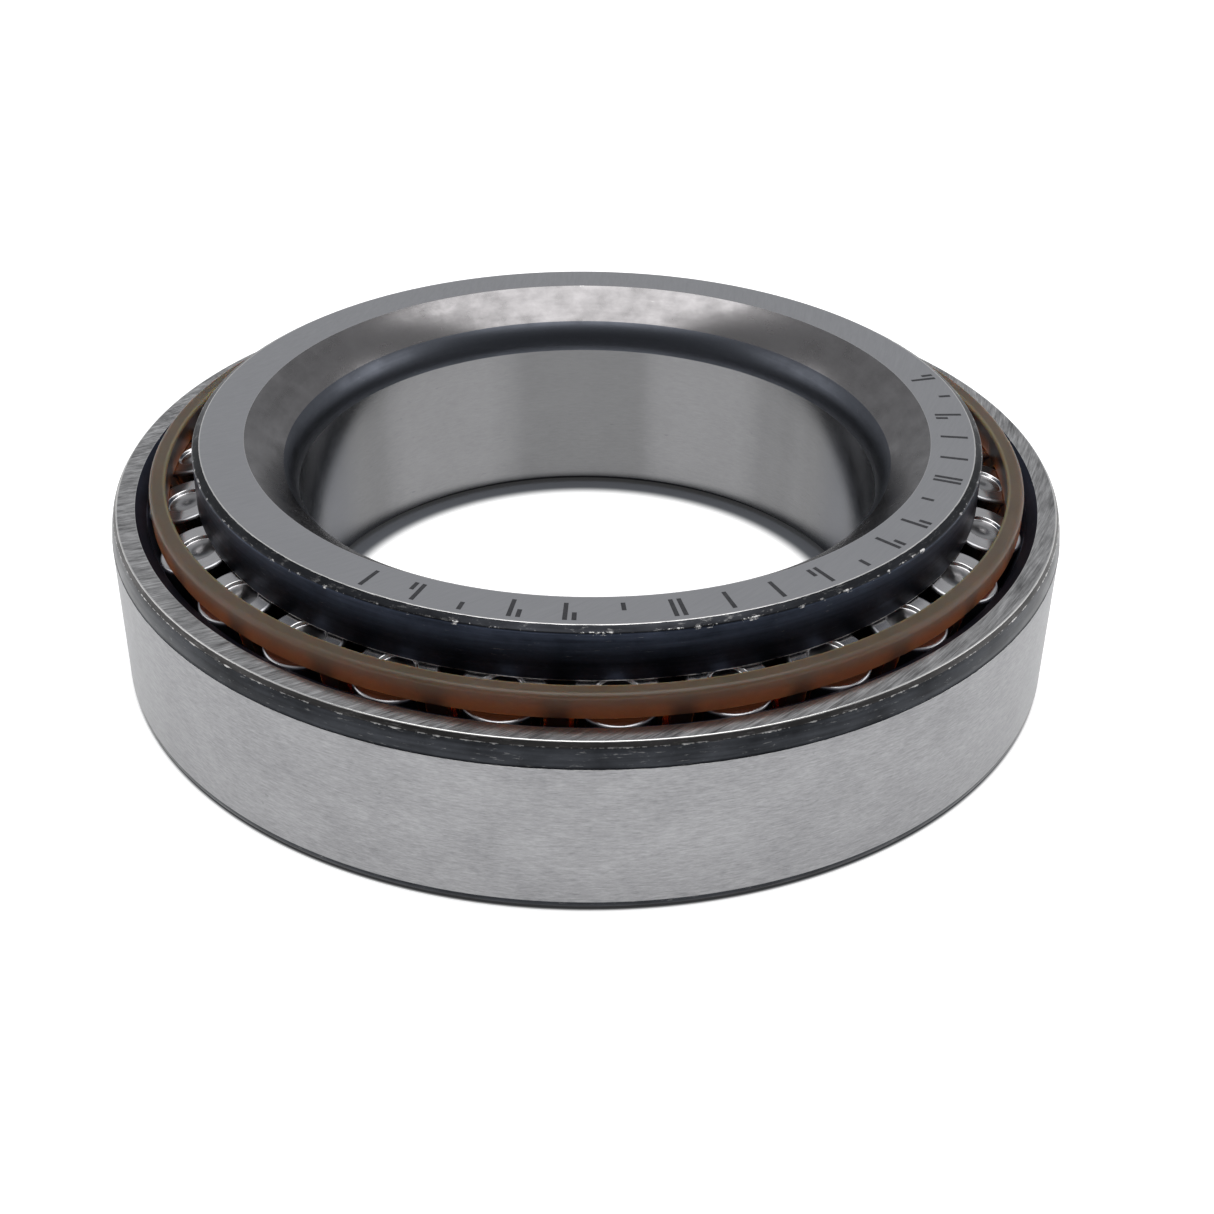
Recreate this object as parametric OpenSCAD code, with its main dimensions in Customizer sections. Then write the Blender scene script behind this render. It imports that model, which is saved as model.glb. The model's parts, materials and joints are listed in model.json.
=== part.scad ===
// Single-row tapered roller bearing: outer ring (cup), inner ring (cone),
// moulded window cage and a complement of tapered rollers.
// Origin: centre of the outer ring's back face. +Z: towards the inner ring's back face.
// Every raceway and roller is a cone with its tip at one common apex on the axis.

/* [Main sizes] */
// Diameter of the inner ring's bore
bore_d = 46; // [45:0.25:46.5]
// Outside diameter of the outer ring
outer_d = 75; // [74.5:0.25:77]
// Overall width, from the outer ring's back face to the inner ring's back face
bearing_w = 18.25; // [18:0.25:18.75]
// Width of the inner ring
inner_w = 18; // [17.75:0.05:18]
// Width of the outer ring
outer_w = 13.75; // [13.7:0.05:14]

/* [Rollers] */
// Number of rollers
roller_n = 26; // [12:1:26]
// Roller diameter at its large end
roller_d = 6.1; // [5.8:0.05:6.15]
// Roller length along its own axis
roller_len = 12.2; // [11.4:0.1:12.3]
// Angle between each roller's axis and the bearing axis
roller_tilt = 13.7; // [13.2:0.1:14]
// Radius of the circle through the centres of the rollers' large ends
pitch_r = 31.7; // [31.6:0.05:31.8]
// Height of the centres of the rollers' large ends
roller_top_z = 13.75; // [13.6:0.05:13.9]
// Turn of the first roller about the bearing axis
roller_phase = -86.2; // [-90:0.1:-80]
// Corner rounding at both ends of a roller
roller_corner = 0.25; // [0.2:0.05:0.6]
// Diameter of the recess in the roller's large end
dimple_d = 3.2; // [2:0.1:3.8]
// Depth of that recess
dimple_depth = 0.25; // [0.1:0.05:0.5]

/* [Inner ring] */
// Outside diameter of the large rib
rib_d = 61.7; // [61.4:0.1:62.2]
// Outer diameter of the ground back face
back_face_d = 60.5; // [60:0.1:61.2]
// Height of the chamfer between the back face and the rib
rib_chamfer_h = 0.35; // [0.2:0.05:0.6]
// Radial width of the large bore entry
entry_w = 3.85; // [3.6:0.05:4]
// Axial depth of the large bore entry
entry_h = 4.65; // [4.4:0.05:5]
// Radial width of the entry's lower part, which is rounded into the bore
entry_low_w = 1; // [0.8:0.05:1.05]
// Axial depth of that lower part
entry_low_h = 2.4; // [2.3:0.05:2.6]
// Outside diameter of the small rib
small_rib_d = 53.8; // [53.4:0.1:54]
// Chamfers of the bore and the front face at the small end
small_end_chamfer = 0.4; // [0.3:0.05:0.8]

/* [Outer ring] */
// Height above the back face at which the ground outside diameter ends
ground_h = 11.87; // [11:0.01:12.2]
// Inner diameter of the ground front face
front_face_d = 71.1; // [70.9:0.1:71.3]
// Corner rounding at the back face
back_corner = 0.6; // [0.3:0.05:0.8]
// Depth of the flared raceway mouth below the front face
mouth_h = 0.55; // [0.4:0.05:0.7]

/* [Cage] */
// Height of the top of the cage's large ring
cage_top_z = 15.46; // [15.2:0.02:15.6]
// Height of the underside of the cage's large ring
cage_ring_low_z = 13.6; // [13.5:0.05:13.75]
// Inner diameter of the cage's large ring
cage_ring_id = 66.1; // [65.8:0.1:66.3]
// Outer diameter of the cage's large ring
cage_ring_od = 68.7; // [68.4:0.1:68.9]
// Play between a roller and its cage pocket
pocket_gap = 0.15; // [0.1:0.01:0.18]
// Play between a roller and the straight sides of its pocket's outer part
slot_gap = 0.28; // [0.2:0.01:0.3]
// Distance from the roller axes at which those straight sides begin
slot_start = 1.2; // [1:0.1:1.6]
// Distance of the bars' outer face from the roller axes
bar_out = 2.2; // [1.8:0.05:2.3]
// Distance of the bars' inner face from the roller axes, at the small ends
bar_in = 0.3; // [0.1:0.05:0.5]
// Edge rounding of the moulded cage
cage_round = 0.22; // [0.1:0.01:0.25]

/* [Hidden] */
$fn = 180;
race_gap = 0.02;        // running clearance between rollers and raceways
rib_gap = 0.03;         // clearance between the large rib and the roller ends
small_gap = 0.3;        // clearance between the small rib and the roller ends
ring_gap = 0.1;         // clearance between the cage rings and the roller ends
shelf_gap = 0.04;       // height of the cage's shelf between the rollers above their large ends
small_ring_lap = 0.35;  // height of the cage's small ring, between the rollers, above their small ends
slot_reach = 1.5;       // outward length of a pocket's straight sides
slot_inset = 0.05;      // how much shorter those sides are than the pocket, at each end
undercut_d = 0.25;      // depth of the grinding undercut beside the large rib
undercut_w = 0.7;       // width of that undercut along the raceway
edge_break = 0.2;       // small broken edges on hardened parts
corner_step = 0.04;     // radial drop from the ground diameter to the unground corner
corner_step_h = 0.02;   // height over which that drop is made
corner_r = 4.8;         // curvature radius of the unground corner band
corner_sweep = 18.2;    // angle that the corner band turns through
corner_chamfer = 0.25;  // radial width of the chamfer between that band and the front face
small_ring_z = 0.65;    // lowest point of the cage's small ring
small_ring_bevel = 0.3; // bevel of that ring's two lower edges
small_ring_out = 1.9;   // outer face of the small ring from the roller axes
small_ring_in = 1.15;   // inner face of the small ring from the roller axes
entry_steps = 12;       // straight steps in each part of the bore entry
corner_steps = 6;       // straight steps in small rounded corners
recess_slope = 0.2;     // how far the recess narrows towards its floor

bore_r = bore_d / 2;
outer_r = outer_d / 2;
rib_r = rib_d / 2;
inner_z = bearing_w - inner_w;
roller_r = roller_d / 2;
step_a = 360 / roller_n;

// The common apex, and the cone angles that follow from it
large_s = pitch_r / sin(roller_tilt);
small_s = large_s - roller_len;
apex_z = roller_top_z - large_s * cos(roller_tilt);
half_a = atan(roller_r / large_s);
small_r = small_s * tan(half_a);

// Name of roller number i, such as roller_07
function roller_name(i) = str("roller_", i < 10 ? "0" : "", i);

// Radius and height of a point s along a roller axis from the apex, o outwards from that axis
function on_axis(s, o) = [
    s * sin(roller_tilt) + o * cos(roller_tilt),
    apex_z + s * cos(roller_tilt) - o * sin(roller_tilt)
];

// Point at radius r in the plane that crosses the roller axes at s
function in_plane(s, r) = on_axis(s, (r - s * sin(roller_tilt)) / cos(roller_tilt));

// Points on the outer and the inner raceway, s along the roller axis from the apex
function outer_race(s) = on_axis(s, s * tan(half_a) + race_gap);
function inner_race(s) = on_axis(s, -s * tan(half_a) - race_gap);

// Radius of the outer raceway at height z
function outer_race_r(z) = (z - apex_z) * tan(roller_tilt + half_a) + race_gap / cos(roller_tilt + half_a);

// Points of an arc of radius r about centre c, from angle a0 to angle a1
function arc_points(c, r, a0, a1, steps) = [
    for (k = [0 : steps])
        let (a = a0 + (a1 - a0) * k / steps)
            c + r * [cos(a), sin(a)]
];

// A profile given as radius and height, turned about the bearing axis
module turned(profile) {
    rotate_extrude() polygon(profile);
}

// Places its children on a roller axis, with +Z along that axis from the large end's centre
module at_roller(i) {
    rotate([0, 0, roller_phase + (i - 1) * step_a])
        translate([pitch_r, 0, roller_top_z])
            rotate([0, roller_tilt, 0])
                children();
}

module outer_ring() {
    mouth_z = outer_w - mouth_h;
    band_start = [outer_r - corner_step - corner_r, ground_h];
    band = arc_points(band_start, corner_r, 0, corner_sweep, corner_steps);
    band_end = band[corner_steps];
    color("silver")
        turned(concat(
            [[outer_race_r(back_corner) + edge_break, 0]],
            arc_points([outer_r - back_corner, back_corner], back_corner, -90, 0, corner_steps),
            [[outer_r, ground_h - corner_step_h]],
            band,
            [
                [band_end[0] - corner_chamfer, outer_w],
                [front_face_d / 2, outer_w],
                [outer_race_r(mouth_z), mouth_z],
                [outer_race_r(edge_break), edge_break]
            ]
        ));
}

module inner_ring() {
    // The entry is two arcs: one leaves the bore tangentially, a flatter one goes on to the back face
    low_sweep = 2 * atan(entry_low_w / entry_low_h);
    low_r = entry_low_h / sin(low_sweep);
    low_centre = [bore_r + low_r, bearing_w - entry_h];
    top_chord = [entry_w - entry_low_w, entry_h - entry_low_h];
    top_sweep = 2 * (90 - low_sweep - atan(top_chord[1] / top_chord[0]));
    top_r = norm(top_chord) / (2 * sin(top_sweep / 2));
    top_centre = low_centre + (top_r - low_r) * [cos(low_sweep), -sin(low_sweep)];
    top_start = 180 - low_sweep;
    top_step = top_sweep / entry_steps;
    rib_s = large_s + rib_gap;
    stop_s = small_s - small_gap;
    race_end = inner_race(rib_s);
    rib_low = in_plane(rib_s, rib_r);
    small_rib_r = small_rib_d / 2;
    small_rib_low_z = inner_z + small_end_chamfer;
    color("gray")
        turned(concat(
            [
                [bore_r + small_end_chamfer, inner_z],
                [bore_r, inner_z + small_end_chamfer]
            ],
            arc_points(low_centre, low_r, 180, top_start, entry_steps),
            arc_points(top_centre, top_r, top_start - top_step, top_start - top_sweep, entry_steps - 1),
            [
                [back_face_d / 2, bearing_w],
                [rib_r, bearing_w - rib_chamfer_h],
                [rib_r, rib_low[1] + edge_break],
                in_plane(rib_s, rib_r - edge_break),
                in_plane(rib_s, race_end[0] - undercut_d),
                inner_race(rib_s - undercut_w) - [undercut_d, 0],
                inner_race(rib_s - undercut_w - undercut_d),
                inner_race(stop_s),
                in_plane(stop_s, small_rib_r - edge_break),
                [small_rib_r, in_plane(stop_s, small_rib_r)[1] - edge_break],
                [small_rib_r, small_rib_low_z],
                [small_rib_r - small_end_chamfer, inner_z]
            ]
        ));
}

// The solid of revolution that the cage's pockets are cut from
module cage_blank() {
    shelf_s = large_s + shelf_gap;
    end_s = small_s + small_ring_lap;
    bar_top_s = (cage_ring_low_z - apex_z + bar_out * sin(roller_tilt)) / cos(roller_tilt);
    ring_ir = cage_ring_id / 2;
    ring_or = cage_ring_od / 2;
    small_out = on_axis(end_s, small_ring_out);
    small_in = on_axis(end_s, -small_ring_in);
    turned(concat(
        arc_points([ring_or - cage_round, cage_top_z - cage_round], cage_round, 0, 90, corner_steps),
        arc_points([ring_ir + cage_round, cage_top_z - cage_round], cage_round, 90, 180, corner_steps),
        [
            in_plane(shelf_s, ring_ir),
            on_axis(end_s, -bar_in),
            small_in,
            [small_in[0], small_ring_z + small_ring_bevel],
            [small_in[0] + small_ring_bevel, small_ring_z],
            [small_out[0] - small_ring_bevel, small_ring_z],
            [small_out[0], small_ring_z + small_ring_bevel],
            on_axis(end_s, small_ring_out),
            on_axis(end_s, bar_out),
            on_axis(bar_top_s, bar_out),
            [ring_or, cage_ring_low_z]
        ]
    ));
}

// One pocket: the space of a roller, with play all round and straight sides in its outer part
module pocket() {
    top_h = ring_gap;
    low_h = -roller_len - ring_gap;
    slot_top = top_h - slot_inset;
    slot_low = low_h + slot_inset;
    top_w = roller_r + slot_gap;
    low_w = small_r + slot_gap;
    translate([0, 0, low_h])
        cylinder(
            h = top_h - low_h,
            r1 = small_r + pocket_gap,
            r2 = roller_r + pocket_gap
        );
    translate([slot_start, 0, 0])
        rotate([90, 0, 90])
            linear_extrude(slot_reach)
                polygon([
                    [-low_w, slot_low],
                    [low_w, slot_low],
                    [top_w, slot_top],
                    [-top_w, slot_top]
                ]);
}

module cage() {
    color([0.45, 0.24, 0.12])
        difference() {
            cage_blank();
            for (i = [1 : roller_n])
                at_roller(i) pocket();
        }
}

module roller(i) {
    recess_r = dimple_d / 2;
    c = roller_corner;
    color([0.82, 0.83, 0.85])
        at_roller(i)
            turned(concat(
                [[0, -roller_len]],
                arc_points([small_r - c, c - roller_len], c, -90, 0, corner_steps),
                arc_points([roller_r - c, -c], c, 0, 90, corner_steps),
                [
                    [recess_r, 0],
                    [recess_r - recess_slope, -dimple_depth],
                    [0, -dimple_depth]
                ]
            ));
}

outer_ring();
inner_ring();
cage();
for (i = [1 : roller_n]) roller(i);
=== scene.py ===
"""A tapered roller bearing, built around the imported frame: visible pieces, materials and a plain studio."""
import json
import math

import bmesh
import bpy
import numpy as np
from mathutils import Matrix, Vector


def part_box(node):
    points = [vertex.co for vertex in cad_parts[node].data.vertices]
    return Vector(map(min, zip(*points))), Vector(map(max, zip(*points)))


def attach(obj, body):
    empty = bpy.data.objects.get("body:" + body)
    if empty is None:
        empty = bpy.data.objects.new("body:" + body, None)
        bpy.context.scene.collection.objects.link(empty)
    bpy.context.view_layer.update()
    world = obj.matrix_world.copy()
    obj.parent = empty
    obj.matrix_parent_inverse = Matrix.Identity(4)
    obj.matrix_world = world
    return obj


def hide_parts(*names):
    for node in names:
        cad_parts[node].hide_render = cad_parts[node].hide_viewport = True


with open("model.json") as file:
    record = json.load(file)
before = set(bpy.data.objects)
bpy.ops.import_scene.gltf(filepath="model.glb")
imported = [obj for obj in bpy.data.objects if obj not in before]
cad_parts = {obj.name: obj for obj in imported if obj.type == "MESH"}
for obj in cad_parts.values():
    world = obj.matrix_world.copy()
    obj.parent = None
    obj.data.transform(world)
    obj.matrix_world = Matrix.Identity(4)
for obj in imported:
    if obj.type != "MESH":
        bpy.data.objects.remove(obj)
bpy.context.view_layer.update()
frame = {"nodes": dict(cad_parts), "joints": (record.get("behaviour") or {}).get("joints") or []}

# ---------------------------------------------------------------- sizes, in millimetres
MM = 0.001
joints = {joint["name"]: joint for joint in frame["joints"]}
cup_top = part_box("outer_ring")[1] / MM
cone_low, cone_top = (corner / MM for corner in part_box("inner_ring"))
cage_low, cage_top = (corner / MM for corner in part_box("cage"))

ROLLER_D = 6.1          # at the large end
ROLLER_LEN = 12.2       # along the roller's own axis
ROLLER_CORNER = 0.25    # corner rounding at both ends
RACE_GAP = 0.02         # running clearance between rollers and raceways
RIB_GAP = 0.03          # clearance between the large rib and the roller ends
SMALL_GAP = 0.3         # clearance between the small rib and the roller ends
BORE_R = 23.0
RING_IR = 33.05         # inner radius of the cage's large ring
RING_LOW_Z = 13.6       # height of that ring's underside
EDGE_BREAK = 0.2        # small broken edges on hardened parts
RING_SEGMENTS = 520

# The common apex of all cones and their angles, from the first roller's joint
first_axis = Vector(joints["roller_01_spin"]["axis"])
first_middle = Vector(joints["roller_01_spin"]["pos_m"]) / MM
tilt = math.acos(first_axis.z)
pitch_s = math.hypot(first_middle.x, first_middle.y) / math.sin(tilt)
large_s = pitch_s + ROLLER_LEN / 2
small_s = pitch_s - ROLLER_LEN / 2
apex_z = first_middle.z - pitch_s * math.cos(tilt)
half_angle = math.atan(ROLLER_D / 2 / large_s)
roller_names = sorted(name for name in frame["nodes"] if name.startswith("roller_"))
roller_pitch = 2 * math.pi / len(roller_names)
first_angle = math.atan2(first_middle.y, first_middle.x)


def on_axis(s, out):
    """Radius and height of a point s along a roller axis from the apex, out from that axis."""
    return (s * math.sin(tilt) + out * math.cos(tilt), apex_z + s * math.cos(tilt) - out * math.sin(tilt))


def in_plane(s, radius):
    """The point at that radius in the plane that crosses the roller axes at s."""
    return on_axis(s, (radius - s * math.sin(tilt)) / math.cos(tilt))


def outer_race(height):
    """Radius of the outer raceway at a height."""
    steep = tilt + half_angle
    return (height - apex_z) * math.tan(steep) + RACE_GAP / math.cos(steep)


def inner_race(s):
    """Radius and height of the inner raceway, s along the roller axis from the apex."""
    return on_axis(s, -s * math.tan(half_angle) - RACE_GAP)


def arc(centre, radius, start, end, steps):
    """Points of an arc, with its angles in degrees."""
    angles = (math.radians(start + (end - start) * k / steps) for k in range(steps + 1))
    return [(centre[0] + radius * math.cos(a), centre[1] + radius * math.sin(a)) for a in angles]


# ---------------------------------------------------------------- meshes
CORNER_STEPS = 4
REACH_SHARE = 0.4       # share of a side that a rounded corner may take
SUPPORT = 0.05          # distance of the support row beside a rounded corner
SUPPORT_SHARE = 0.3     # share of what is left of the side that this distance may take


def outline(corners):
    """Dense rows of a closed outline in radius and height.

    A corner is (radius, height, rounding, zone, wear); rounding None marks a point of a smooth curve, and
    wear, from 0 to 1, may be left out; on ground faces it also sets the painted edge highlight. A row is
    (radius, height, normal radius, normal height, wear, zone), and its zone is that of the faces after it.
    """
    rows = []
    count = len(corners)
    for i, (r, z, rounding, zone, *worn) in enumerate(corners):
        wear = worn[0] if worn else 1.0
        here = np.array((r, z), float)
        before = np.array(corners[i - 1][:2], float)
        after = np.array(corners[(i + 1) % count][:2], float)
        zone_before = corners[i - 1][3]
        len_in, len_out = np.linalg.norm(here - before), np.linalg.norm(after - here)
        way_in, way_out = (here - before) / len_in, (after - here) / len_out
        normal_in = np.array((way_in[1], -way_in[0]))
        normal_out = np.array((way_out[1], -way_out[0]))
        if rounding is None:
            normal = (normal_in + normal_out) / np.linalg.norm(normal_in + normal_out)
            rows.append((*here, *normal, 0.0, zone))
            continue
        turn = math.atan2(way_in[0] * way_out[1] - way_in[1] * way_out[0], float(way_in @ way_out))
        reach = min(rounding * math.tan(abs(turn) / 2), REACH_SHARE * len_in, REACH_SHARE * len_out)
        radius = reach / math.tan(abs(turn) / 2)
        side = math.copysign(1, turn)
        centre = here - way_in * reach - side * radius * normal_in
        support_in = min(SUPPORT, SUPPORT_SHARE * (len_in - reach))
        support_out = min(SUPPORT, SUPPORT_SHARE * (len_out - reach))
        rows.append((*(here - way_in * (reach + support_in)), *normal_in, 0.0, zone_before))
        for k in range(CORNER_STEPS + 1):
            a = turn * k / CORNER_STEPS
            normal = np.array((
                normal_in[0] * math.cos(a) - normal_in[1] * math.sin(a),
                normal_in[0] * math.sin(a) + normal_in[1] * math.cos(a)))
            row_zone = zone_before if k < CORNER_STEPS / 2 else zone
            rows.append((*(centre + side * radius * normal), *normal, wear, row_zone))
        rows.append((*(here + way_out * (reach + support_out)), *normal_out, 0.0, zone))
    return rows


def turned(name, rows, segments, zones):
    """A mesh turned about the Z axis from outline rows. zones maps each zone's name to its material.

    A row on the axis is a single point. The wear of each row goes into the attribute "edge", which ground
    faces also use as the mask of their painted edge highlight.
    """
    area = sum(a[0] * b[1] - b[0] * a[1] for a, b in zip(rows, rows[1:] + rows[:1]))
    way = 1 if area > 0 else -1     # an outline may run either way round, and its faces point outwards
    verts, normals, edges, first = [], [], [], []
    for r, z, nr, nz, edge, _ in rows:
        first.append(len(verts))
        for k in range(segments if r > 0 else 1):
            a = 2 * math.pi * k / segments
            verts.append((r * math.cos(a) * MM, r * math.sin(a) * MM, z * MM))
            normals.append((way * nr * math.cos(a), way * nr * math.sin(a), way * nz))
            edges.append(edge)
    faces, slots = [], []
    order = list(zones)
    for i, row in enumerate(rows):
        j = (i + 1) % len(rows)
        step_i, step_j = int(row[0] > 0), int(rows[j][0] > 0)
        if not step_i and not step_j:
            continue
        for k in range(segments):
            n = (k + 1) % segments
            near = (first[i] + step_i * k, first[i] + step_i * n)
            far = (first[j] + step_j * n, first[j] + step_j * k)
            faces.append(tuple(dict.fromkeys(near + far))[::way])
            slots.append(order.index(row[5]))
    mesh = bpy.data.meshes.new(name)
    mesh.from_pydata(verts, [], faces)
    mesh.attributes.new("edge", "FLOAT", "POINT").data.foreach_set("value", edges)
    for zone in order:
        mesh.materials.append(zones[zone])
    mesh.polygons.foreach_set("material_index", slots)
    mesh.shade_smooth()
    mesh.normals_split_custom_set_from_vertices(normals)
    return mesh


def placed(name, mesh, matrix=None):
    """A new object in the scene with that mesh."""
    piece = bpy.data.objects.new(name, mesh)
    if matrix is not None:
        piece.matrix_world = matrix
    bpy.context.scene.collection.objects.link(piece)
    return piece


# ---------------------------------------------------------------- materials
WHEEL = (-52.5, 32.0)   # centre of the grinding marks' arcs on the flat faces, in millimetres


class Shader:
    """A material under construction, with short calls for the nodes that the materials here use.

    Its coordinates are the piece's own, in millimetres.
    """

    def __init__(self, name, **constants):
        self.material = bpy.data.materials.new(name)
        self.material.use_nodes = True
        self.tree = self.material.node_tree
        self.surface = self.tree.nodes["Principled BSDF"]
        for socket, value in constants.items():
            self.surface.inputs[socket.replace("_", " ")].default_value = value
        coordinates = self.node("ShaderNodeTexCoord").outputs["Object"]
        self.point = self.vector("SCALE", coordinates, scale=1 / MM)
        parts = self.node("ShaderNodeSeparateXYZ", Vector=self.point)
        self.x, self.y, self.z = parts.outputs

    def node(self, kind, settings=None, **inputs):
        """A new node. An underscore in an input's name stands for a space."""
        made = self.tree.nodes.new(kind)
        for key, value in (settings or {}).items():
            setattr(made, key, value)
        for key, value in inputs.items():
            self.feed(made.inputs[key.replace("_", " ")], value)
        return made

    def feed(self, socket, value):
        """Links a node's output to the socket, or sets the socket to a constant."""
        if isinstance(value, bpy.types.NodeSocket):
            self.tree.links.new(value, socket)
        else:
            socket.default_value = value

    def out(self, socket, value):
        """Feeds one of the surface's own sockets."""
        self.feed(self.surface.inputs[socket], value)

    def math(self, operation, a, b=0.0, c=0.0):
        made = self.node("ShaderNodeMath", {"operation": operation})
        for socket, value in zip(made.inputs, (a, b, c)):
            self.feed(socket, value)
        return made.outputs[0]

    def vector(self, operation, a, b=(0, 0, 0), scale=1.0):
        made = self.node("ShaderNodeVectorMath", {"operation": operation})
        self.feed(made.inputs[0], a)
        if operation == "SCALE":
            self.feed(made.inputs["Scale"], scale)
        else:
            self.feed(made.inputs[1], b)
        return made.outputs["Value" if operation == "LENGTH" else "Vector"]

    def noise(self, scale, point=None, stretch=(1, 1, 1), detail=3.0, roughness=0.5, offset=0.0):
        """Noise from 0 to 1 with features of about 1 / scale millimetres."""
        at = self.vector("MULTIPLY", self.point if point is None else point, stretch)
        if offset:
            at = self.vector("ADD", at, (offset, offset, offset))
        made = self.node("ShaderNodeTexNoise", Vector=at, Scale=scale, Detail=detail, Roughness=roughness)
        return made.outputs[0]

    def remap(self, value, low, high, to_low=0.0, to_high=1.0, smooth=False):
        """Takes low to to_low and high to to_high, and stays level beyond them."""
        kind = {"interpolation_type": "SMOOTHSTEP"} if smooth else {}
        made = self.node("ShaderNodeMapRange", kind)
        for socket, number in zip(made.inputs, (value, low, high, to_low, to_high)):
            self.feed(socket, number)
        return made.outputs[0]

    def band(self, value, low, high, blur):
        """1 where value is between low and high, with soft ends."""
        up = self.remap(value, low - blur, low + blur, smooth=True)
        down = self.remap(value, high - blur, high + blur, 1.0, 0.0, smooth=True)
        return self.math("MULTIPLY", up, down)

    def mix(self, share, a, b):
        """A colour from a, at share 0, to b, at share 1."""
        made = self.node("ShaderNodeMix", {"data_type": "RGBA"})
        self.feed(made.inputs["Factor"], share)
        colours = [socket for socket in made.inputs if socket.type == "RGBA"]
        for socket, value in zip(colours, (a, b)):
            self.feed(socket, value if isinstance(value, bpy.types.NodeSocket) else (*value, 1.0))
        return next(socket for socket in made.outputs if socket.type == "RGBA")

    def edge(self):
        """How exposed to wear the surface is, from 0 to 1; ground faces also use it as the mask of their
        painted edge highlight.
        """
        return self.node("ShaderNodeAttribute", {"attribute_name": "edge"}).outputs["Fac"]

    def radius(self):
        """Distance from the Z axis."""
        y_squared = self.math("MULTIPLY", self.y, self.y)
        return self.math("SQRT", self.math("MULTIPLY_ADD", self.x, self.x, y_squared))

    def bump(self, height, distance):
        """Bumps the surface by a height from 0 to 1 that stands for that many millimetres."""
        made = self.node("ShaderNodeBump", Height=height, Distance=distance * MM, Strength=1.0)
        self.out("Normal", made.outputs[0])

    def anisotropy(self, amount):
        """Grinding marks that run round the Z axis."""
        made = self.node("ShaderNodeTangent", {"direction_type": "RADIAL", "axis": "Z"})
        self.surface.inputs["Anisotropic"].default_value = amount
        self.out("Tangent", made.outputs[0])


def ground_cylinder(name, light, dark, rough, inside=False):
    """A ground cylinder: short streaks round the axis, faint clouds and a few specks.

    An inside cylinder also has painted reflections, soft lighter upright bands, and painted shade, darker at
    its two sides.
    """
    speck_tone = (0.12, 0.12, 0.13)
    painted_side_shade_tone = (0.092, 0.097, 0.115)
    s = Shader(name, Metallic=1.0)
    grain = s.noise(1.0, stretch=(1.0, 1.0, 7.0), detail=5.0, roughness=0.7)
    fine = s.noise(1.0, stretch=(2.2, 2.2, 16.0), detail=3.0, roughness=0.7, offset=31.0)
    clouds = s.noise(0.22, stretch=(1, 1, 1.4), detail=4.0, roughness=0.6, offset=7.0)
    tone = s.math("ADD", s.math("MULTIPLY", grain, 0.4), s.math("MULTIPLY", fine, 0.35))
    tone = s.math("ADD", tone, s.math("MULTIPLY", clouds, 0.25))
    colour = s.mix(s.remap(tone, 0.38, 0.62), dark, light)
    specks = s.remap(s.noise(1.3, stretch=(0.8, 0.8, 2.2), detail=1.0, offset=90.0), 0.24, 0.2)
    colour = s.mix(s.math("MULTIPLY", specks, 0.35), colour, speck_tone)
    if inside:
        # Painted reflections: soft lighter upright bands, with the colour darkened between them.
        wander = s.remap(s.noise(0.13, stretch=(1, 1, 0.02), detail=2.0, offset=17.0), 0.3, 0.7, -2.5, 2.5)
        across = s.math("ABSOLUTE", s.math("ADD", s.x, wander))
        painted_dim = s.mix(0.24, colour, (0.0, 0.0, 0.0))
        colour = s.mix(s.band(across, 0.3 * BORE_R, 0.7 * BORE_R, 3.0), painted_dim, colour)
        # Painted shade: darker towards the bore's two sides.
        sides = s.remap(s.math("ABSOLUTE", s.x), 0.85 * BORE_R, 0.96 * BORE_R, smooth=True)
        colour = s.mix(s.math("MULTIPLY", sides, 0.65), colour, painted_side_shade_tone)
    s.out("Base Color", colour)
    s.out("Roughness", s.remap(s.math("ADD", fine, clouds), 0.7, 1.3, rough - 0.05, rough + 0.06))
    s.bump(s.math("ADD", s.math("MULTIPLY", grain, 0.6), s.math("MULTIPLY", fine, 0.4)), 0.004)
    s.anisotropy(0.35)
    return s.material


def ground_face(name, light, dark, rough, contrast):
    """A ground flat face with painted highlights along its edges. The marks are arcs about the grinding
    wheel's centre.
    """
    # Tone of the painted highlight along the edges.
    painted_edge_highlight_tone = (0.9, 0.89, 0.87)
    spread = 0.16 / contrast
    arc_stretch = 24.0      # length along the arcs for each radian
    s = Shader(name, Metallic=1.0)
    from_wheel = s.vector("SUBTRACT", s.point, (*WHEEL, 0.0))
    parts = s.node("ShaderNodeSeparateXYZ", Vector=from_wheel)
    arc_radius = s.vector("LENGTH", s.vector("MULTIPLY", from_wheel, (1, 1, 0)))
    arc_angle = s.math("ARCTAN2", parts.outputs[1], parts.outputs[0])
    along = s.math("MULTIPLY", arc_angle, arc_stretch)
    lay = s.node("ShaderNodeCombineXYZ", X=arc_radius, Y=along).outputs[0]
    coarse = s.noise(1.0, lay, stretch=(2.2, 0.9, 1), detail=4.0, roughness=0.7)
    fine = s.noise(1.0, lay, stretch=(9.0, 1.2, 1), detail=2.0, offset=5.0)
    clouds = s.noise(0.3, detail=2.0, offset=3.0)
    tone = s.math("ADD", s.math("MULTIPLY", coarse, 0.55), s.math("MULTIPLY", fine, 0.3))
    tone = s.math("ADD", tone, s.math("MULTIPLY", clouds, 0.15))
    colour = s.mix(s.remap(tone, 0.5 - spread, 0.5 + spread), dark, light)
    # Painted highlight along the rounded edges, masked by the edge attribute.
    s.out("Base Color", s.mix(s.math("MULTIPLY", s.edge(), 0.8), colour, painted_edge_highlight_tone))
    s.out("Roughness", s.remap(coarse, 0.3, 0.7, rough + 0.06, rough - 0.06))
    s.bump(s.math("ADD", s.math("MULTIPLY", coarse, 0.6), s.math("MULTIPLY", fine, 0.4)), 0.006 * contrast)
    return s.material


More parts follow.
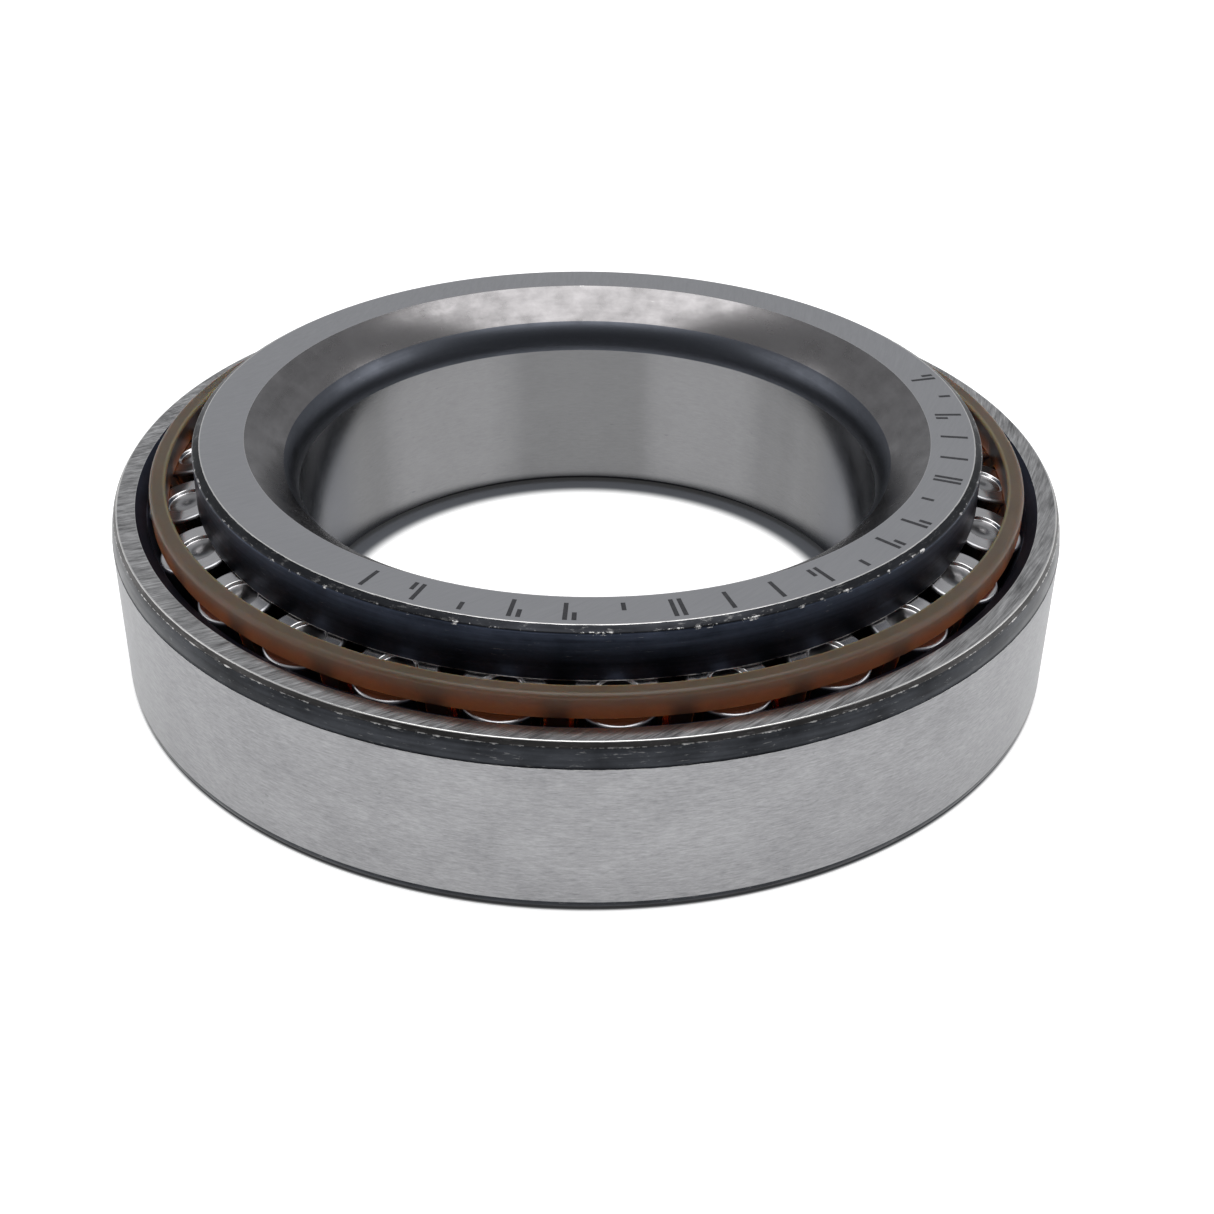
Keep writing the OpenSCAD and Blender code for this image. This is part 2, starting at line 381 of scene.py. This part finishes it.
def unground(name, tone, rough, wear=0.5, streaks=0.5, mottling=1.0, scuffs=0.0):
    """Hardened, unground skin: dark, with worn edges, scratches and soft streaks round the axis."""
    worn_tone = (0.62, 0.61, 0.6)
    s = Shader(name, Metallic=1.0)
    blotches = s.noise(0.35, stretch=(1, 1, 1.6), detail=4.0, roughness=0.6)
    rings = s.noise(1.0, stretch=(0.12, 0.12, 3.0), detail=3.0, offset=11.0)
    mottle = s.math("ADD", s.math("MULTIPLY", blotches, 1 - streaks), s.math("MULTIPLY", rings, streaks))
    dark = tuple((1 - 0.45 * mottling) * c for c in tone)
    light = tuple((1 + 0.5 * mottling) * c for c in tone)
    colour = s.mix(s.remap(mottle, 0.34, 0.66), dark, light)
    scored = s.noise(1.0, stretch=(0.9, 0.9, 5.0), detail=5.0, roughness=0.75, offset=57.0)
    scratches = s.remap(scored, 0.66 - 0.1 * scuffs, 0.74 - 0.04 * scuffs)
    nicks = s.noise(1.1, detail=4.0, roughness=0.7, offset=23.0)
    threshold = s.remap(s.edge(), 0.0, 1.0, 0.74, 0.56 - 0.34 * wear)
    rubbed = s.remap(s.math("SUBTRACT", nicks, threshold), 0.0, 0.08)
    mask = s.math("MAXIMUM", s.math("MULTIPLY", scratches, 0.22), rubbed)
    s.out("Base Color", s.mix(mask, colour, worn_tone))
    s.out("Roughness", s.remap(mottle, 0.3, 0.7, rough + 0.07, rough - 0.07))
    s.bump(s.math("ADD", s.math("MULTIPLY", rings, 0.6), s.math("MULTIPLY", blotches, 0.4)), 0.006 * mottling)
    return s.material


def polished(name, tone, rough, marks=0.002):
    """Honed or superfinished steel, with hairline marks round the axis."""
    s = Shader(name, Metallic=1.0)
    hair = s.noise(1.0, stretch=(1.0, 1.0, 16.0), detail=3.0)
    haze = s.noise(0.6, detail=2.0, offset=9.0)
    dark = tuple(0.86 * c for c in tone)
    s.out("Base Color", s.mix(s.remap(hair, 0.3, 0.7), dark, tone))
    s.out("Roughness", s.remap(haze, 0.3, 0.7, rough - 0.03, rough + 0.04))
    s.bump(hair, marks)
    return s.material


def polymer(name):
    """Moulded amber-brown polyamide. Between the bars it glows with painted light, for light that comes
    through.

    Its tones go by the place in the ring: top face in the plain tone; outer wall painted as lit through
    between the bars, with painted shade at them; painted shade inside; a painted highlight on the inner rim.
    """
    whole_pitches = 8.0     # keeps the turn positive
    top_tones = (0.075, 0.056, 0.03), (0.092, 0.064, 0.04)
    # Painted light: the wall as if lit through from behind.
    painted_glow_tones = (0.2, 0.064, 0.023), (0.26, 0.082, 0.029)
    # Painted shade where the bars join the ring.
    painted_bar_shade_tone = (0.14, 0.053, 0.024)
    # Painted shade on the inside faces.
    painted_inside_shade_tone = (0.042, 0.02, 0.014)
    fibre_tone = (0.05, 0.03, 0.02)
    # Painted highlight on the inner top rim.
    painted_rim_highlight_tone = (0.17, 0.145, 0.085)
    s = Shader(name, Roughness=0.42, IOR=1.45)
    turn = s.math("DIVIDE", s.math("SUBTRACT", s.math("ARCTAN2", s.y, s.x), first_angle), roller_pitch)
    share = s.math("FRACT", s.math("ADD", turn, whole_pitches))
    from_bar = s.math("ABSOLUTE", s.math("SUBTRACT", share, 0.5))
    between = s.remap(from_bar, 0.03, 0.2, smooth=True)
    fibres = s.noise(2.2, stretch=(1, 1, 2.5), detail=4.0, roughness=0.65)
    clouds = s.noise(0.22, detail=2.0, offset=4.0)
    top = s.mix(s.remap(clouds, 0.35, 0.65), *top_tones)
    painted_glow = s.mix(s.remap(clouds, 0.35, 0.65), *painted_glow_tones)
    height = s.remap(s.z, cage_top.z - 1.3, cage_top.z - 0.05)
    outside = s.remap(s.radius(), cage_top.x - 0.35, cage_top.x - 0.05)
    wall = s.mix(height, s.mix(between, painted_bar_shade_tone, painted_glow), top)
    # Inner faces take the painted inside shade.
    body = s.mix(outside, painted_inside_shade_tone, wall)
    # Painted light on the underside between the bars, also given as a faint emission.
    painted_glow_beneath = s.math("MULTIPLY", between, s.remap(s.z, RING_LOW_Z + 1.1, RING_LOW_Z))
    painted_glow_beneath = s.math("MULTIPLY", painted_glow_beneath, s.remap(s.z, RING_LOW_Z - 0.35, RING_LOW_Z - 0.25))
    body = s.mix(painted_glow_beneath, body, painted_glow)
    # Painted highlight: a lighter line along the inner top rim.
    near_rim = s.remap(s.radius(), RING_IR + 0.3, RING_IR + 0.12)
    rim = s.math("MULTIPLY", near_rim, s.remap(s.z, cage_top.z - 0.3, cage_top.z - 0.2))
    normal = s.node("ShaderNodeNewGeometry").outputs["Normal"]
    facing = s.remap(s.node("ShaderNodeSeparateXYZ", Vector=normal).outputs["Z"], 0.5, 0.95)
    on_ring = s.remap(s.z, cage_top.z - 0.6, cage_top.z - 0.4)
    colour = s.mix(s.math("MULTIPLY", facing, on_ring), body, top)
    colour = s.mix(s.remap(fibres, 0.3, 0.7, 0.0, 0.22), colour, fibre_tone)
    s.out("Base Color", s.mix(rim, colour, painted_rim_highlight_tone))
    # The faint emission is painted light; the cage is no lamp.
    s.out("Emission Color", painted_glow)
    s.out("Emission Strength", s.math("MULTIPLY", painted_glow_beneath, 0.16))
    s.surface.inputs["Subsurface Weight"].default_value = 0.85
    s.surface.inputs["Subsurface Radius"].default_value = (1.0, 0.32, 0.1)
    s.surface.inputs["Subsurface Scale"].default_value = 2.5 * MM
    s.bump(fibres, 0.008)
    return s.material


def etched(name):
    """The dull dark surface of the etched strokes."""
    dark, light = (0.03, 0.03, 0.034), (0.06, 0.06, 0.064)
    s = Shader(name, Metallic=0.6)
    grain = s.noise(6.0, detail=3.0)
    s.out("Base Color", s.mix(s.remap(grain, 0.3, 0.7), dark, light))
    s.out("Roughness", s.remap(grain, 0.3, 0.7, 0.5, 0.65))
    return s.material


def floor_finish(name):
    """White acrylic, lit from below, with a painted shadow where the bearing stands: a dark tone and almost
    no light from below there.
    """
    dark, light = (0.55, 0.55, 0.55), (0.58, 0.58, 0.58)
    # Tone of the painted shadow under the bearing.
    painted_shadow_tone = (0.07, 0.078, 0.095)
    open_glow, painted_shadow_glow = 0.75, 0.03
    s = Shader(name, Roughness=0.7)
    paper = s.noise(0.05, detail=3.0)
    # Painted shadow under the bearing, from just inside the bore to the cup's outside.
    past_bore = s.remap(s.radius(), BORE_R - 2.4, BORE_R - 0.9, smooth=True)
    inside_cup = s.remap(s.radius(), cup_top.x - 0.25, cup_top.x + 0.1, 1.0, 0.0, smooth=True)
    painted_shadow = s.math("MULTIPLY", past_bore, inside_cup)
    white = s.mix(s.remap(paper, 0.3, 0.7), dark, light)
    s.out("Base Color", s.mix(painted_shadow, white, painted_shadow_tone))
    s.surface.inputs["Emission Color"].default_value = (1.0, 1.0, 1.0, 1.0)
    s.out("Emission Strength", s.remap(painted_shadow, 0.0, 1.0, open_glow, painted_shadow_glow))
    return s.material


cup_ground = ground_cylinder("cup_ground", (0.37, 0.37, 0.378), (0.21, 0.21, 0.218), rough=0.42)
cup_face = ground_face("cup_face", (0.7, 0.69, 0.685), (0.16, 0.157, 0.158), rough=0.18, contrast=1.3)
cup_skin = unground("cup_skin", (0.029, 0.031, 0.0355), rough=0.33, wear=0.6, scuffs=0.6)
cup_chamfer = unground("cup_chamfer", (0.078, 0.075, 0.074), rough=0.38, wear=1.0, scuffs=1.0)
cup_mouth = unground("cup_mouth", (0.02, 0.026, 0.045), rough=0.5, wear=0.3)
cone_face = ground_face("cone_face", (0.46, 0.46, 0.475), (0.38, 0.38, 0.395), rough=0.34, contrast=0.8)
cone_chamfer = unground("cone_chamfer", (0.019, 0.02, 0.023), rough=0.4, wear=0.9, scuffs=1.0)
cone_rib = unground("cone_rib", (0.037, 0.045, 0.066), rough=0.42, wear=0.6, scuffs=0.3)
cone_entry = unground("cone_entry", (0.195, 0.188, 0.19), rough=0.24, wear=0.2, streaks=0.2, mottling=0.45)
# The throat's darker tone is painted shade: the dark band where it reflects the opposite, shaded side of the
# bore.
cone_throat = unground("cone_throat", (0.085, 0.091, 0.107), rough=0.36, wear=0.0, streaks=0.3, mottling=0.3)
cone_bore = ground_cylinder("cone_bore", (0.245, 0.245, 0.25), (0.205, 0.205, 0.21), rough=0.15, inside=True)
raceway = polished("raceway", (0.3, 0.33, 0.43), rough=0.38)
roller_side = polished("roller_side", (0.42, 0.42, 0.44), rough=0.16)
roller_end = polished("roller_end", (0.62, 0.61, 0.615), rough=0.2, marks=0.003)
roller_corner = polished("roller_corner", (0.42, 0.42, 0.435), rough=0.3)
roller_recess = polished("roller_recess", (0.36, 0.355, 0.36), rough=0.3, marks=0.004)
cage_polymer = polymer("cage_polymer")

# ---------------------------------------------------------------- outer ring
GROUND_H = 11.87        # height at which the ground outside ends and the unground corner band begins
GROUND_START = 0.15     # height above the back corner at which the ground outside begins
BAND_R = 4.8            # curvature radius of that band
BAND_SWEEP = 18.2       # angle that it turns through, in degrees
BAND_STEP = 0.04        # radial drop from the ground outside to the band
BAND_STEP_H = 0.03      # height over which that drop is made
CHAMFER_W = 0.25        # radial width of the chamfer between band and front face
FACE_INNER_R = 35.55
MOUTH_H = 0.55          # depth of the flared raceway mouth
BACK_CORNER = 0.6


def outer_ring():
    """The cup: back face, ground outside, unground corner band, front face, mouth and raceway."""
    band = arc((cup_top.x - BAND_STEP - BAND_R, GROUND_H), BAND_R, 0, BAND_SWEEP, steps=6)
    mouth_z = cup_top.z - MOUTH_H
    back = arc((cup_top.x - BACK_CORNER, BACK_CORNER), BACK_CORNER, -90, 0, steps=8)
    corners = [(outer_race(BACK_CORNER) + EDGE_BREAK, 0, 0.06, "face")]
    corners += [(r, z, None, "skin") for r, z in back]
    corners += [(cup_top.x, BACK_CORNER + GROUND_START, None, "ground")]
    corners += [(cup_top.x, GROUND_H - BAND_STEP_H, 0.012, "skin")]
    corners += [(r, z, None, "skin") for r, z in band[:-1]]
    corners += [(*band[-1], 0.25, "chamfer", 0.5)]
    corners += [
        (band[-1][0] - CHAMFER_W, cup_top.z, 0.09, "face"),
        (FACE_INNER_R, cup_top.z, 0.05, "mouth", 0.4),
        (outer_race(mouth_z), mouth_z, 0.1, "race", 0.0),
        (outer_race(EDGE_BREAK), EDGE_BREAK, 0.05, "mouth"),
    ]
    zones = {
        "ground": cup_ground, "skin": cup_skin, "chamfer": cup_chamfer,
        "face": cup_face, "mouth": cup_mouth, "race": raceway,
    }
    return placed("cup", turned("cup", outline(corners), RING_SEGMENTS, zones))


cup = outer_ring()
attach(cup, "outer_ring")
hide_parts("outer_ring")

# ---------------------------------------------------------------- inner ring
BACK_FACE_R = 30.25
RIB_CHAMFER_H = 0.35
ENTRY_W = 3.85          # radial width and axial depth of the whole bore entry
ENTRY_H = 4.65
ENTRY_LOW_W = 1.0       # width and depth of its lower part, the throat
ENTRY_LOW_H = 2.4
SMALL_RIB_R = 26.9
SMALL_CHAMFER = 0.4     # chamfers at the small end
UNDERCUT_W = 0.7        # width and depth of the undercut beside the large rib
UNDERCUT_D = 0.25


def inner_ring():
    """The cone. The throat is an arc that leaves the bore tangentially, and the entry is a flatter arc."""
    low_sweep = 2 * math.atan(ENTRY_LOW_W / ENTRY_LOW_H)
    low_r = ENTRY_LOW_H / math.sin(low_sweep)
    low_centre = (BORE_R + low_r, cone_top.z - ENTRY_H)
    chord_w, chord_h = ENTRY_W - ENTRY_LOW_W, ENTRY_H - ENTRY_LOW_H
    top_sweep = 2 * (math.pi / 2 - low_sweep - math.atan(chord_h / chord_w))
    top_r = math.hypot(chord_w, chord_h) / (2 * math.sin(top_sweep / 2))
    top_centre = (
        low_centre[0] + (top_r - low_r) * math.cos(low_sweep),
        low_centre[1] - (top_r - low_r) * math.sin(low_sweep))
    join = 180 - math.degrees(low_sweep)
    throat = arc(low_centre, low_r, 180, join, steps=20)
    entry = arc(top_centre, top_r, join, join - math.degrees(top_sweep), steps=16)[1:]
    rib_r = cone_top.x
    rib_s = large_s + RIB_GAP
    stop_s = small_s - SMALL_GAP
    race_end = inner_race(rib_s)
    ramp = inner_race(rib_s - UNDERCUT_W)
    corners = [
        (BORE_R + SMALL_CHAMFER, cone_low.z, 0.06, "throat"),
        (BORE_R, cone_low.z + SMALL_CHAMFER, 0.06, "bore"),
    ]
    corners += [(r, z, None, "throat") for r, z in throat[:-1]]
    corners += [(r, z, None, "entry") for r, z in throat[-1:] + entry[:-1]]
    corners += [
        (*entry[-1], 0.05, "face", 0.3),
        (BACK_FACE_R, cone_top.z, 0.08, "rib_chamfer"),
        (rib_r, cone_top.z - RIB_CHAMFER_H, 0.25, "rib", 0.35),
        (rib_r, in_plane(rib_s, rib_r)[1] + EDGE_BREAK, 0.08, "rib"),
        (*in_plane(rib_s, rib_r - EDGE_BREAK), 0.08, "race"),
        (*in_plane(rib_s, race_end[0] - UNDERCUT_D), 0.1, "skin"),
        (ramp[0] - UNDERCUT_D, ramp[1], 0.1, "skin"),
        (*inner_race(rib_s - UNDERCUT_W - UNDERCUT_D), 0.1, "race"),
        (*inner_race(stop_s), 0.05, "skin"),
        (*in_plane(stop_s, SMALL_RIB_R - EDGE_BREAK), 0.06, "skin"),
        (SMALL_RIB_R, in_plane(stop_s, SMALL_RIB_R)[1] - EDGE_BREAK, 0.06, "skin"),
        (SMALL_RIB_R, cone_low.z + SMALL_CHAMFER, 0.06, "skin"),
        (SMALL_RIB_R - SMALL_CHAMFER, cone_low.z, 0.06, "face"),
    ]
    zones = {
        "face": cone_face, "rib_chamfer": cone_chamfer, "rib": cone_rib, "race": raceway,
        "skin": cup_skin, "bore": cone_bore, "throat": cone_throat, "entry": cone_entry,
    }
    return placed("cone", turned("cone", outline(corners), RING_SEGMENTS, zones))


cone = inner_ring()
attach(cone, "inner_ring")
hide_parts("inner_ring")

# ---------------------------------------------------------------- rollers
ROLLER_SEGMENTS = 96
DIMPLE_D = 3.2          # recess in the large end
DIMPLE_DEPTH = 0.25
DIMPLE_SLOPE = 0.2      # how far the recess narrows towards its floor


def roller_mesh():
    """One roller along Z, with the centre of its large end at the origin."""
    small_r = small_s * math.tan(half_angle)
    large_r = ROLLER_D / 2
    c = ROLLER_CORNER
    corners = [(0, -ROLLER_LEN, None, "end")]
    corners += [(r, z, None, "side") for r, z in arc((small_r - c, c - ROLLER_LEN), c, -90, 0, steps=8)]
    corners += [(r, z, None, "corner") for r, z in arc((large_r - c, -c), c, 0, 90, steps=10)[:-1]]
    corners += [(large_r - c, 0, None, "end")]
    corners += [
        (DIMPLE_D / 2, 0, 0.12, "end"),
        (DIMPLE_D / 2 - DIMPLE_SLOPE, -DIMPLE_DEPTH, 0.15, "recess"),
        (0, -DIMPLE_DEPTH, None, "recess"),
    ]
    zones = {"side": roller_side, "corner": roller_corner, "end": roller_end, "recess": roller_recess}
    return turned("roller", outline(corners), ROLLER_SEGMENTS, zones)


def roller_matrix(joint):
    """Where a roller stands: Z along its own axis, X outwards, the large end's centre at the origin."""
    along = Vector(joint["axis"])
    outward = Vector((joint["pos_m"][0], joint["pos_m"][1], 0)).normalized()
    side = along.cross(outward).normalized()
    turned_axes = Matrix((side.cross(along), side, along)).transposed().to_4x4()
    return Matrix.Translation(Vector(joint["pos_m"]) + along * ROLLER_LEN / 2 * MM) @ turned_axes


shared_roller = roller_mesh()
for node_name in roller_names:
    roller = placed("tapered_" + node_name, shared_roller, roller_matrix(joints[node_name + "_spin"]))
    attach(roller, node_name)
    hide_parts(node_name)

# ---------------------------------------------------------------- cage
POCKET_GAP = 0.15       # play round a roller
END_PLAY = 0.1          # play at a roller's ends
POCKET_SEGMENTS = 72
SLOT_GAP = 0.28         # play beside a roller in the pocket's outer part, which has straight sides
SLOT_START = 1.2        # distance from the roller axes at which that part begins
SLOT_REACH = 1.5        # its outward length
SLOT_INSET = 0.05       # how much shorter it is than the pocket, at each end
BAR_OUT = 2.2           # distances of the bars' two faces from the roller axes
BAR_IN = 0.3
SMALL_RING_OUT = 1.9    # distances of the small ring's two faces from the roller axes
SMALL_RING_IN = 1.15
SMALL_RING_LAP = 0.35   # height of the small ring above the rollers' small ends
SHELF_GAP = 0.04        # height of the shelf between the rollers above their large ends
SLIVER = 0.003          # points closer than this are merged
CREASE = math.radians(32)   # steeper edges stay sharp


def cage_blank():
    """The turned shape that the pockets are cut from."""
    shelf_s = large_s + SHELF_GAP
    end_s = small_s + SMALL_RING_LAP
    bar_top_s = (RING_LOW_Z - apex_z + BAR_OUT * math.sin(tilt)) / math.cos(tilt)
    small_out = on_axis(end_s, SMALL_RING_OUT)
    small_in = on_axis(end_s, -SMALL_RING_IN)
    corners = [
        (cage_top.x, RING_LOW_Z, 0.06, "cage"),
        (cage_top.x, cage_top.z, 0.4, "cage"),
        (RING_IR, cage_top.z, 0.22, "cage"),
        (*in_plane(shelf_s, RING_IR), 0.06, "cage"),
        (*on_axis(end_s, -BAR_IN), 0.1, "cage"),
        (*small_in, 0.1, "cage"),
        (small_in[0], cage_low.z, 0.25, "cage"),
        (small_out[0], cage_low.z, 0.25, "cage"),
        (*small_out, 0.1, "cage"),
        (*on_axis(end_s, BAR_OUT), 0.08, "cage"),
        (*on_axis(bar_top_s, BAR_OUT), 0.08, "cage"),
    ]
    mesh = turned("cage_moulding", outline(corners), RING_SEGMENTS, {"cage": cage_polymer})
    return placed("cage_moulding", mesh)


def pocket_cutters(name, low_loop, top_loop):
    """One closed cutter in each pocket, between two loops of points in the roller's own frame."""
    verts, faces = [], []
    size = len(low_loop)
    for node in roller_names:
        matrix = roller_matrix(joints[node + "_spin"])
        low, top = len(verts), len(verts) + size
        verts += [matrix @ (Vector(p) * MM) for p in low_loop + top_loop]
        for k in range(size):
            n = (k + 1) % size
            faces.append((low + k, low + n, top + n, top + k))
        faces.append(tuple(low + k for k in reversed(range(size))))
        faces.append(tuple(top + k for k in range(size)))
    mesh = bpy.data.meshes.new(name)
    mesh.from_pydata(verts, [], faces)
    mesh.materials.append(cage_polymer)
    return placed(name, mesh)


def cone_loops():
    """The two end loops of a pocket's round part."""
    low, top = -ROLLER_LEN - END_PLAY, END_PLAY
    small_r = small_s * math.tan(half_angle) + POCKET_GAP
    large_r = ROLLER_D / 2 + POCKET_GAP
    angles = [2 * math.pi * k / POCKET_SEGMENTS for k in range(POCKET_SEGMENTS)]
    return [
        [(r * math.cos(a), r * math.sin(a), z) for a in angles]
        for r, z in ((small_r, low), (large_r, top))]


def slot_loops():
    """The two end loops of a pocket's outer part."""
    low, top = SLOT_INSET - ROLLER_LEN - END_PLAY, END_PLAY - SLOT_INSET
    small_w = small_s * math.tan(half_angle) + SLOT_GAP
    large_w = ROLLER_D / 2 + SLOT_GAP
    end = SLOT_START + SLOT_REACH
    return [
        [(SLOT_START, -w, z), (end, -w, z), (end, w, z), (SLOT_START, w, z)]
        for w, z in ((small_w, low), (large_w, top))]


def cut(piece, cutter):
    """Takes the cutter's shape out of the piece's mesh, and removes the cutter."""
    modifier = piece.modifiers.new("cut", "BOOLEAN")
    modifier.operation = "DIFFERENCE"
    modifier.solver = "MANIFOLD"
    modifier.object = cutter
    depsgraph = bpy.context.evaluated_depsgraph_get()
    mesh = bpy.data.meshes.new_from_object(piece.evaluated_get(depsgraph))
    piece.modifiers.clear()
    piece.data = mesh
    bpy.data.objects.remove(cutter)


def merge_slivers(mesh):
    """Merges the almost equal points that the cuts leave, so that the mesh is closed."""
    clean = bmesh.new()
    clean.from_mesh(mesh)
    bmesh.ops.remove_doubles(clean, verts=clean.verts, dist=SLIVER * MM)
    bmesh.ops.dissolve_degenerate(clean, edges=clean.edges, dist=SLIVER * MM)
    clean.to_mesh(mesh)
    clean.free()


cage = cage_blank()
cut(cage, pocket_cutters("round_cutter", *cone_loops()))
cut(cage, pocket_cutters("slot_cutter", *slot_loops()))
merge_slivers(cage.data)
cage.data.shade_smooth()
cage.data.set_sharp_from_angle(angle=CREASE)
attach(cage, "cage")
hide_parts("cage")

# ---------------------------------------------------------------- etched marks
# A row of plain strokes, which stand for the maker's marking and say nothing
MARK_R = 28.7           # radius of the row's middle
MARK_H = 2.1            # radial height of a full stroke
STROKE = 0.32           # width of a stroke
PAIR = 0.3              # offset of a paired stroke from its mark's middle
SHORT = 0.45            # length of a short stroke, as a share of a full one
MARK_PITCH = 7.2        # angles in degrees
MARK_START = -121.0
MARK_COUNT = 20
MARK_RELIEF = 0.006     # how far the strokes reach above and below the face


def mark_strokes(index):
    """Strokes of one mark, as its side offset in millimetres and its two ends in shares of MARK_H."""
    kinds = [
        [(0, 0, 1)],
        [(-PAIR, 0, 1), (PAIR, 0, 1)],
        [(0, 0, SHORT)],
        [(-PAIR, 0, 1), (PAIR, 1 - SHORT, 1)],
        [(0, 1 - SHORT, 1)],
        [(-PAIR, 0, SHORT), (PAIR, 0, 1)],
    ]
    return kinds[(index * 5 + index // 4) % len(kinds)]     # a mixed order of the kinds


def marks():
    """All strokes as one mesh, each a thin block."""
    verts, faces = [], []
    for index in range(MARK_COUNT):
        angle = math.radians(MARK_START + index * MARK_PITCH)
        for offset, inner, outer in mark_strokes(index):
            base = len(verts)
            for z in (cone_top.z - MARK_RELIEF, cone_top.z + MARK_RELIEF):
                for share, side in ((inner, -1), (outer, -1), (outer, 1), (inner, 1)):
                    r = MARK_R + (share - 0.5) * MARK_H
                    a = angle + (offset + side * STROKE / 2) / MARK_R
                    verts.append((r * math.cos(a) * MM, r * math.sin(a) * MM, z * MM))
            faces += [(base + 3, base + 2, base + 1, base), (base + 4, base + 5, base + 6, base + 7)]
            faces += [(base + k, base + (k + 1) % 4, base + 4 + (k + 1) % 4, base + 4 + k) for k in range(4)]
    mesh = bpy.data.meshes.new("cone_marks")
    mesh.from_pydata(verts, [], faces)
    mesh.materials.append(etched("etched_mark"))
    return placed("cone_marks", mesh)


cone_marks = marks()
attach(cone_marks, "inner_ring")

# ---------------------------------------------------------------- studio
FLOOR_HALF = 1.5
FLOOR_Z = -0.02 * MM    # just clear of the underside
ROOM_TONE = (0.95, 0.97, 1.0, 1.0)
ROOM_FRONT = 0.12       # the room's strength on the camera's side
ROOM_BACK = 0.5         # and behind the bearing
ROOM_RAMP = (-1.0, 0.6) # how far a direction points along +Y where each of the two is reached


def floor():
    """A large plain sheet under the bearing."""
    corners = [(-1, -1), (1, -1), (1, 1), (-1, 1)]
    mesh = bpy.data.meshes.new("floor")
    mesh.from_pydata([(x * FLOOR_HALF, y * FLOOR_HALF, FLOOR_Z) for x, y in corners], [], [(0, 1, 2, 3)])
    mesh.materials.append(floor_finish("pale_floor"))
    return placed("floor", mesh)


floor()


def area_light(name, power, size, place, target=(0, 0, 0.01)):
    """A softbox of that width and depth, aimed at the target."""
    data = bpy.data.lights.new(name, "AREA")
    data.shape = "RECTANGLE"
    data.size, data.size_y = size
    data.energy = power
    lamp = bpy.data.objects.new(name, data)
    lamp.location = place
    lamp.rotation_euler = (Vector(target) - Vector(place)).to_track_quat("-Z", "Y").to_euler()
    bpy.context.scene.collection.objects.link(lamp)


area_light("overhead", power=3.6, size=(0.63, 0.62), place=(0.03, -0.08, 0.7), target=(0.03, -0.08, 0))
area_light("left_fill", power=1.0, size=(0.5, 0.4), place=(-0.75, 0.1, 0.4))
area_light("right_fill", power=1.2, size=(0.5, 0.4), place=(0.75, 0.1, 0.4))


def studio_world():
    """A grey room, dimmer behind the camera than behind the bearing."""
    world = bpy.data.worlds.new("studio")
    world.use_nodes = True
    tree = world.node_tree
    background = tree.nodes["Background"]
    background.inputs["Color"].default_value = ROOM_TONE
    direction = tree.nodes.new("ShaderNodeTexCoord")
    parts = tree.nodes.new("ShaderNodeSeparateXYZ")
    ramp = tree.nodes.new("ShaderNodeMapRange")
    for socket, value in zip(list(ramp.inputs)[1:5], (*ROOM_RAMP, ROOM_FRONT, ROOM_BACK)):
        socket.default_value = value
    tree.links.new(direction.outputs["Generated"], parts.inputs[0])
    tree.links.new(parts.outputs["Y"], ramp.inputs[0])
    tree.links.new(ramp.outputs[0], background.inputs["Strength"])
    return world


bpy.context.scene.world = studio_world()
bpy.context.scene.view_settings.view_transform = "Standard"

# ---------------------------------------------------------------- camera
CAMERA_PLACE = (0.0, -0.13177, 0.08377)
CAMERA_DOWN = math.radians(32.29)       # tilt below level
CAMERA_YAW = math.radians(0.745)        # turn to the right
CAMERA_ROLL = math.radians(0.842)
FOCAL_LENGTH = 54.86
SENSOR = 36.0
CLIP_START = 0.001


def camera():
    """The camera at the viewing angle of the reference."""
    data = bpy.data.cameras.new("camera")
    data.lens = FOCAL_LENGTH
    data.sensor_width = SENSOR
    data.clip_start = CLIP_START
    shot = bpy.data.objects.new("camera", data)
    forward = Vector((
        math.sin(CAMERA_YAW) * math.cos(CAMERA_DOWN),
        math.cos(CAMERA_YAW) * math.cos(CAMERA_DOWN),
        -math.sin(CAMERA_DOWN)))
    level = Vector((math.cos(CAMERA_YAW), -math.sin(CAMERA_YAW), 0))
    rise = level.cross(forward)
    right = math.cos(CAMERA_ROLL) * level + math.sin(CAMERA_ROLL) * rise
    up = math.cos(CAMERA_ROLL) * rise - math.sin(CAMERA_ROLL) * level
    shot.matrix_world = Matrix.Translation(CAMERA_PLACE) @ Matrix((right, up, -forward)).transposed().to_4x4()
    bpy.context.scene.collection.objects.link(shot)
    return shot


bpy.context.scene.camera = camera()
